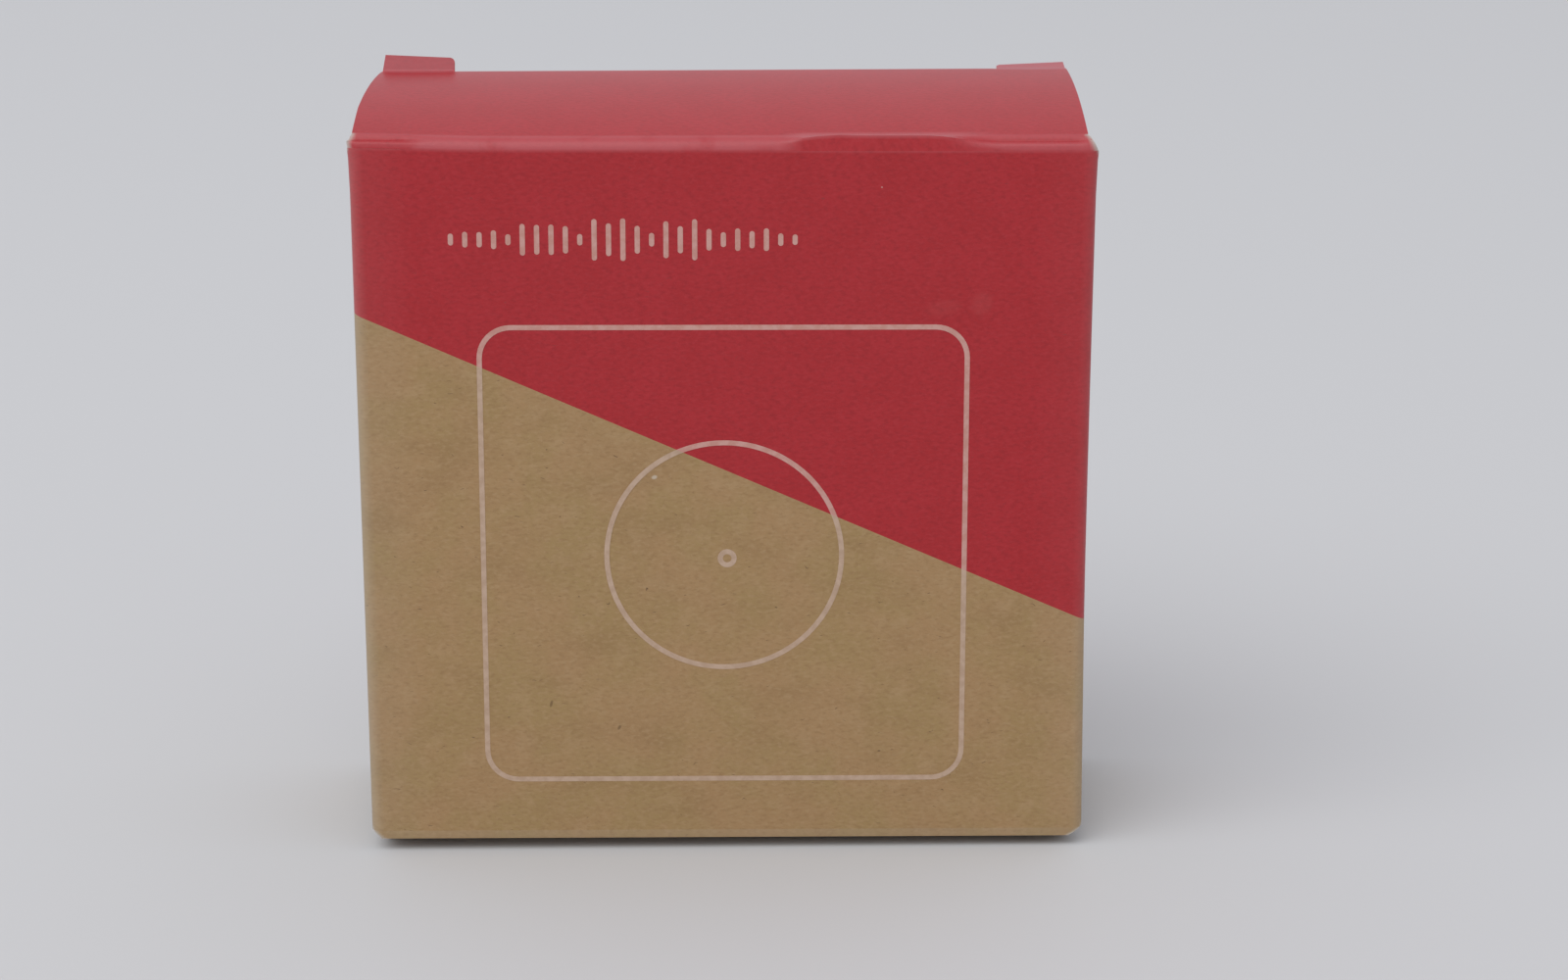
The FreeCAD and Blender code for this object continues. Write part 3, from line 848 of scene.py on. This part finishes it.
def top_crush(across, share, depth, height):
    """The top front crease is out of round: right of the middle it was pushed into a sharp
    ridge, and near both its ends a score line is pressed in."""
    ridge = eased(across, *RIDGE_RISES) * (1 - eased(across, *RIDGE_ENDS))
    ripple = RIPPLE * math.sin(across * 900 + 1.0) * eased(across, *RIPPLE_RISES)
    ridge += ripple * (1 - eased(across, *RIPPLE_ENDS))
    begin = (-DEPTH / 2, FRONT_TOP + LIFT)
    corner = (RIDGE_DEPTH, begin[1] + RIDGE_HEIGHT)
    slope = math.radians(FRONT_SLOPE)
    rounded_end = (
        TOP_FOLD * (1 - math.sin(slope)) - DEPTH / 2,
        begin[1] + TOP_FOLD * math.cos(slope),
    )
    sharp_depth, sharp_height = sharp_fold(share, begin, corner, rounded_end)
    depth += ridge * (sharp_depth - depth)
    height += ridge * (sharp_height - height)
    ends = max(eased(across, *GROOVE_RIGHT), eased(-across, *GROOVE_LEFT))
    ends *= 1 - 0.7 * eased(across, *GROOVE_FADES)
    pressed = GROOVE_DEPTH * ends * max(0.0, 1 - abs(share - GROOVE) / GROOVE_SIDE)
    # it is pressed in square to the bend
    return depth + 0.6 * pressed, height - 0.8 * pressed


# how sharp the bottom front crease is, and the depth and the height over the sleeve's foot of
# its corner and of its end
BOTTOM_SHARP = 0.75
BOTTOM_CORNER, BOTTOM_END = (-DEPTH / 2, 0.00002), (-0.01497, 0.000012)


def bottom_crush(across, share, depth, height):
    """The bottom front crease is folded sharp, so that its edge overhangs the bulge."""
    begin = (-DEPTH / 2, HEIGHT - FRONT_TOP + LIFT)
    corner, end = ((place, LIFT + rise) for place, rise in (BOTTOM_CORNER, BOTTOM_END))
    sharp_depth, sharp_height = sharp_fold(share, begin, corner, end)
    depth += BOTTOM_SHARP * (sharp_depth - depth)
    height += BOTTOM_SHARP * (sharp_height - height)
    return depth, height


# Where the wear of the top front crease changes along it: the dull stretch right of the
# middle, the stretch where the band's lower border starts higher up the bend, and the dark
# pressed line, painted as shade by less wear, which starts a little before it is deep.
DULL_RISES, DULL_ENDS = (0.0070, 0.0100), (0.0260, 0.0340)
BORDER_RISES, BORDER_FALLS = (0.0150, 0.0220), (0.0270, 0.0370)
DARK_RIGHT, DARK_LEFT = (0.0260, 0.0320), (0.0365, 0.0390)


def top_rub_and_light(across, distance, front):
    """How pale the top front crease is: a pale band of wear, dull right of the middle but for
    a painted highlight on the ridge's upper edge, with painted shade making the pressed line
    dark in it at its ends."""
    sharp = eased(across, *DULL_RISES) * (1 - eased(across, *DULL_ENDS))
    if distance > front:
        return (1 - 0.2 * sharp) * near(distance, 0.0, front + 0.0005 * sharp)
    share = distance / front
    streak = 0.7 + 0.2 * (1 - eased(share, 0.2, 0.42)) * eased(-across, -0.010, 0.0)
    # right of the ridge the band's lower border starts high and runs down to the corner
    begin = 0.22 * eased(across, *BORDER_RISES) * (1 - eased(across, *BORDER_FALLS))
    streak *= 0.45 + 0.55 * eased(share, begin, begin + 0.12)
    # the ridge's upper edge gets a painted highlight, drawn as pale wear
    lit = 0.5 + 0.3 * eased(across, *RIDGE_ENDS)
    rubbed_and_lit = streak * (1 - sharp) + 0.8 * near(share, lit, 1.0, 0.12) * sharp
    far_left = eased(-across, *DARK_LEFT)
    groove = max(eased(across, *DARK_RIGHT), far_left)
    groove *= 1 - 0.7 * eased(across, *GROOVE_FADES)
    # at the left end the groove's lower side is wider, and less rubbed, so its painted shade
    # reaches further
    spread = GROOVE_SIDE
    if share < GROOVE:
        spread += 0.15 * far_left
        rubbed_and_lit *= 1 - 0.6 * far_left
    return rubbed_and_lit * (1 - groove * max(0.0, 1 - abs(share - GROOVE) / spread))


def bottom_rub(across, distance, front):
    """How rubbed the bottom front crease is: evenly, and very little."""
    return 0.2 * near(distance, 0.0, front)


def half_width_at(edge, distance):
    """A side edge's distance from the middle, between the places that its outline names."""
    for (start, first), (end, last) in zip(edge, edge[1:]):
        if distance <= end:
            return first + (last - first) * max(0.0, distance - start) / (end - start)
    return edge[-1][1]


# a lid is divided every so far along it and across it, and more closely near its side edges
LID_STEP, LID_COLUMN = 0.0012, 0.0015
EDGE_START, EDGE_STEP, EDGE_STEPS = 0.0416, 0.0003, 11
EAR_STEP, EAR_STEPS = 0.0001, 8
EAR_CORNER = 0.0006


def make_lid(word, closure, sides, crush, rub_and_light):
    """A closure panel. Each side has the outline of its edge as distances with half widths,
    and its ear: where it starts and ends, its own run, how far its outer edge leans in, and
    how much shorter it is at its inner end."""
    front, panel_end = closure.front, closure.panel_end

    def fold_lid(across, level):
        distance = (level - closure.start) * closure.up
        side = math.copysign(1.0, across)
        run = None
        if distance > panel_end + TINY:
            run = closure.runs[:-2] + sides[side]["run"]
        depth, height = closure.reach(distance, run)
        if 0 < distance < front:
            depth, height = crush(across, distance / front, depth, height)
        # the crease starts on the upright folds' own curve
        past = max(0.0, abs(across) - FRONT_HALF)
        drop = FOLD - math.sqrt(max(0.0, FOLD**2 - past**2))
        depth += drop * max(0.0, 1 - distance / front)
        if distance <= 0:
            depth -= panel_bow(across, level)
        across += corner_flare(across, level, depth) * max(0.0, 1 - distance / front)
        shift = settled(across, depth, height)
        if closure.up > 0 and shift < 0:
            shift *= 1 - 0.7 * min(1.0, distance / front)
        return across, depth, height + shift

    edge, rounded = [], []
    for side, shape in sides.items():
        length = sum(length for length, _ in shape["run"])
        near_end, far_end = shape["ear"]
        half = [(across, distance) for distance, across in shape["edge"]]
        half += [
            (far_end, panel_end),
            (far_end - shape["lean"], panel_end + length),
            (near_end, panel_end + length - shape["drop"]),
            (near_end, panel_end),
        ]
        half = [(side * across, closure.at(distance)) for across, distance in half]
        inner_corner = len(half) - 2
        rounded.append((len(edge) + (inner_corner if side > 0 else 1), EAR_CORNER))
        edge += half if side > 0 else reversed(half)
    lid = flat_blank(edge, rounded)
    rows = crease_lines(closure.start, front * closure.up)[2:]
    rows += [closure.at(distance) for distance in spread_lines(front, panel_end, LID_STEP)]
    rows.append(closure.at(panel_end))
    rows += [closure.at(panel_end + EAR_STEP * step) for step in range(1, EAR_STEPS + 1)]
    score(lid, "up", rows)
    ends = [EDGE_START + EDGE_STEP * step for step in range(EDGE_STEPS)]
    columns = spread_lines(-EDGE_START, EDGE_START, LID_COLUMN)
    score(lid, "across", columns + ends + [-place for place in ends])

    def lid_wear_and_light(across, level):
        distance = (level - closure.start) * closure.up
        rear = 0.3 * near(distance, panel_end - 0.0002, panel_end + 0.01)
        side_edge = sides[math.copysign(1.0, across)]["edge"]
        bared = near(abs(across), half_width_at(side_edge, distance), 1.0, 0.0006)
        rubbed_and_lit = max(rub_and_light(across, distance, front), rear)
        return rubbed_and_lit, bared * near(distance, -1.0, front, EDGE_REACH)

    colour = RED if closure.up > 0 else KRAFT
    return sheet_piece(
        f"{word}_lid_panel", lid, fold_lid, lid_wear_and_light, lambda across, level: colour
    )


def make_tuck(word, closure, necks):
    """A tuck flap with round corners. Its necks are its half widths between the two ears,
    right and left."""
    start, end = closure.panel_end, closure.tuck_start + TUCK_LENGTH
    outline = []
    for side, neck in zip((1, -1), necks):
        half = [
            (neck, start),
            (neck, closure.tuck_start + SHOULDER),
            (TUCK_HALF, closure.tuck_start + SHOULDER),
            (TUCK_HALF, end),
        ]
        half = [(side * across, closure.at(distance)) for across, distance in half]
        outline += half if side > 0 else reversed(half)
    radii = (SHOULDER_CORNER, TUCK_CORNER, TUCK_CORNER, SHOULDER_CORNER)
    tuck = flat_blank(outline, list(enumerate(radii, start=2)))
    rows = crease_lines(closure.at(start), (closure.tuck_start - start) * closure.up)[2:]
    lines = spread_lines(closure.tuck_start, end, LID_STEP)
    score(tuck, "up", rows + [closure.at(distance) for distance in lines])
    score(tuck, "across", spread_lines(-TUCK_HALF, TUCK_HALF, 0.005))

    def fold_tuck(across, level):
        return across, *closure.reach((level - closure.start) * closure.up)

    def tuck_wear(across, level):
        distance = (level - closure.start) * closure.up
        return 0.8 * near(distance, start, closure.tuck_start), 0.0

    colour = RED if closure.up > 0 else KRAFT
    return sheet_piece(
        f"{word}_tuck_panel", tuck, fold_tuck, tuck_wear, lambda across, level: colour
    )


# the top lid: its bow's radius makes its two slopes land on the rear crease
sines = [math.sin(math.radians(slope)) for slope in (FRONT_SLOPE, REAR_SLOPE)]
span = LID_SPAN + FOLD - TOP_FOLD + TOP_FOLD * sines[0] + FOLD * sines[1]
top = Closure(
    1,
    arc(TOP_FOLD, 90 - FRONT_SLOPE),
    [arc(span / sum(sines), FRONT_SLOPE + REAR_SLOPE)],
    arc(FOLD, 90 - REAR_SLOPE),
)
top_sides = {
    1: {
        "edge": [
            (0.0, LID_ROOT),
            (top.front * 0.85, 0.0445),
            (top.front, 0.0443),
            (0.014, 0.0442),
            (top.panel_end, 0.0440),
        ],
        "ear": EAR,
        "run": [arc(0.004, 14.0), (0.0015, 0.0)],
        "lean": 0.0001,
        "drop": 0.0009,
    },
    -1: {
        "edge": [
            (0.0, LID_ROOT),
            (top.front * 0.33, 0.0450),
            (top.front, 0.04455),
            (0.0108, 0.0445),
            (0.0160, 0.04425),
            (0.0220, 0.0439),
            (0.0265, 0.0436),
            (top.panel_end, 0.0433),
        ],
        "ear": (0.0340, 0.0432),
        "run": [arc(0.0003, 72.0), (0.00193, 0.0)],
        "lean": 0.0004,
        "drop": 0.00042,
    },
}
top_lid = make_lid("top", top, top_sides, top_crush, top_rub_and_light)
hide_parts("top_lid")
creases = top.creases()
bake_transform(top_lid)
top_tuck = make_tuck("top", top, (NECK_HALF, LEFT_NECK_HALF))
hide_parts("top_tuck_flap")
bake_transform(top_tuck)

# The bottom lid bulges down from its crease, levels out and runs on flat along the table. It
# is widest on its flat part.
LID_HALF = 0.04405
bow_span = REST_BOW * math.sin(math.radians(REST_SLOPE))
bottom = Closure(
    -1,
    arc(FOLD, 90 - REST_SLOPE),
    [arc(REST_BOW + FOLD, REST_SLOPE), (LID_SPAN - bow_span, 0.0)],
    arc(FOLD, 90),
)
bottom_sides = {}
for side, corner, inner in ((1, 0.04335, 0.0426), (-1, 0.0437, 0.0429)):
    bottom_sides[side] = {
        "edge": [
            (0.0, LID_ROOT),
            (bottom.front * 0.5, corner),
            (bottom.front, inner),
            (0.0049, LID_HALF),
            (bottom.panel_end, LID_HALF),
        ],
        "ear": EAR,
        "run": [(0.0009, 0.0)],
        "lean": 0.0002,
        "drop": 0.0001,
    }
bottom_lid = make_lid("bottom", bottom, bottom_sides, bottom_crush, bottom_rub)
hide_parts("bottom_lid")
creases = bottom.creases()
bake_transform(bottom_lid)
bottom_tuck = make_tuck("bottom", bottom, (NECK_HALF, NECK_HALF))
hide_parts("bottom_tuck_flap")
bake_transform(bottom_tuck)

# The printed lines
# Thin pale lines that the print leaves on the front panel: a square with round corners, a
# circle and a small ring in it, and above them a plain row of upright strokes. Each is a
# film of pale ink, lighter over the red and duller over the bare board.

LINE = 0.00064
INK_PROUD = 0.00002
INK_FILM = 0.00005
# the print leans to the right by this slope, about a level in its middle
ASKEW, ASKEW_LEVEL = 0.004, 0.0375


def pale_ink(name, tone, patch):
    """Pale, slightly starved ink: it takes the board's tooth, so its tone is uneven."""
    material, shader, place = new_finish(name)
    starved = soft_patches(material, place, 1.2, (0.35, 0.65))
    lay_tones(material, shader, tone, [(starved, patch)])
    shader.inputs["Roughness"].default_value = 0.6
    return material


ink_over_red = pale_ink("pale_ink_over_red", "C2948A", "B98579")
ink_over_kraft = pale_ink("pale_ink_over_kraft", "B99E88", "AE927B")


def print_piece(name, bm):
    """Lay flat shapes, drawn in the front panel's own plane, on that panel as ink. The print
    is a little askew, as the panel is."""
    flat = bm.loops.layers.uv.new("blank")
    score(bm, "across", [PANEL_STEP * step for step in range(-6, 7)])
    score(bm, "up", [PANEL_STEP * step for step in range(1, 14)])
    for vert in bm.verts:
        for loop in vert.link_loops:
            loop[flat].uv = vert.co.xy
    for vert in bm.verts:
        across, level = vert.co.xy
        depth = -DEPTH / 2 - panel_bow(across, level) - INK_PROUD
        height = level + LIFT
        height += settled(across, -DEPTH / 2, height)
        vert.co = (across + ASKEW * (level - ASKEW_LEVEL), depth, height)
    split_colours(bm)
    mesh = bpy.data.meshes.new(name)
    bm.to_mesh(mesh)
    bm.free()
    mesh.materials.append(ink_over_red)
    mesh.materials.append(ink_over_kraft)
    piece = bpy.data.objects.new(name, mesh)
    bpy.context.collection.objects.link(piece)
    film = piece.modifiers.new("film", "SOLIDIFY")
    film.thickness = INK_FILM
    film.offset = -1.0
    settle(piece)
    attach(piece, "carton")


def outlined(bm):
    """Keep only a rim, one line wide, of every flat shape."""
    inner = bm.faces[:]
    bmesh.ops.inset_region(
        bm, faces=inner, thickness=LINE, use_boundary=True, use_even_offset=True
    )
    bmesh.ops.delete(bm, geom=inner, context="FACES")


# the square, 60 by 59 mm over its line
LEFT, RIGHT, FOOT, HEAD = -0.03025, 0.0301, 0.00783, 0.0672
SQUARE_CORNER = 0.0042
square = flat_blank([(LEFT, FOOT), (RIGHT, FOOT), (RIGHT, HEAD), (LEFT, HEAD)])
for corner in square.verts[:]:
    round_corners(square, [corner], SQUARE_CORNER, 10)
outlined(square)
print_piece("printed_square", square)

# the circle, and the ring a little right of its middle and below it
for name, centre, radius, steps in (
    ("printed_circle", (-0.00005, 0.03766), 0.0149, 96),
    ("printed_ring", (0.00031, 0.03734), 0.00118, 32),
):
    circle = bmesh.new()
    bmesh.ops.create_circle(
        circle,
        cap_ends=True,
        segments=steps,
        radius=radius,
        matrix=Matrix.Translation((*centre, 0.0)),
    )
    outlined(circle)
    print_piece(name, circle)

# The row of strokes rises and falls like a level display, and says nothing.
STROKES, STROKE_PITCH = 25, 0.00174
FIRST_STROKE, STROKE_LEVEL = -0.0331, 0.07784
SHORTEST, SWING = 0.0012, 0.0054
strokes = bmesh.new()
for place in range(STROKES):
    swell = math.sin(math.pi * (place + 0.5) / STROKES)
    ripple = 0.5 + 0.5 * math.sin(place * 1.9 + 0.6) * math.cos(place * 0.7)
    length = SHORTEST + SWING * swell * ripple
    middle = Matrix.Translation((FIRST_STROKE + STROKE_PITCH * place, STROKE_LEVEL, 0.0))
    grown = bmesh.ops.create_grid(
        strokes,
        x_segments=1,
        y_segments=1,
        size=0.5,
        matrix=middle @ Matrix.Diagonal((LINE, length, 1.0, 1.0)),
    )
    round_corners(strokes, grown["verts"], LINE * 0.49, 4)
print_piece("printed_strokes", strokes)

# The table
# A plain pale sheet under the carton that runs far past the picture's edges. It takes the
# carton's shadow, and isn't part of the object.

TABLE_RADIUS = 6.0
table_bm = bmesh.new()
bmesh.ops.create_circle(table_bm, cap_ends=True, segments=64, radius=TABLE_RADIUS)
table_mesh = bpy.data.meshes.new("table")
table_bm.to_mesh(table_mesh)
table_bm.free()
table = bpy.data.objects.new("table", table_mesh)
bpy.context.collection.objects.link(table)
table_finish = bpy.data.materials.new("pale_table")
table_finish.use_nodes = True
table_shader = table_finish.node_tree.nodes["Principled BSDF"]
table_shader.inputs["Base Color"].default_value = linear("C7C7C7")
table_shader.inputs["Roughness"].default_value = 0.8
table_shader.inputs["Specular IOR Level"].default_value = 0.2
table_mesh.materials.append(table_finish)

# The light
# A plain bright room, faintly blue, with one broad lamp high up in front of the carton and
# to its left, so that the shadows are soft.

LAMP_PLACE = Vector((-1.1, -1.5, 2.4))
LAMP_AIM = Vector((0.0, 0.0, 0.04))
LAMP_SIZE = (3.2, 2.0)

world = bpy.data.worlds.new("room")
world.use_nodes = True
background = world.node_tree.nodes["Background"]
background.inputs["Color"].default_value = (0.97, 0.985, 1.05, 1.0)
background.inputs["Strength"].default_value = 0.74
bpy.context.scene.world = world

lamp_data = bpy.data.lights.new("lamp", "AREA")
lamp_data.shape = "RECTANGLE"
lamp_data.size, lamp_data.size_y = LAMP_SIZE
lamp_data.energy = 48.0
lamp = bpy.data.objects.new("lamp", lamp_data)
aimed = (LAMP_AIM - LAMP_PLACE).to_track_quat("-Z", "Y").to_matrix().to_4x4()
lamp.matrix_world = Matrix.Translation(LAMP_PLACE) @ aimed
bpy.context.collection.objects.link(lamp)

bpy.context.scene.view_settings.view_transform = "Standard"
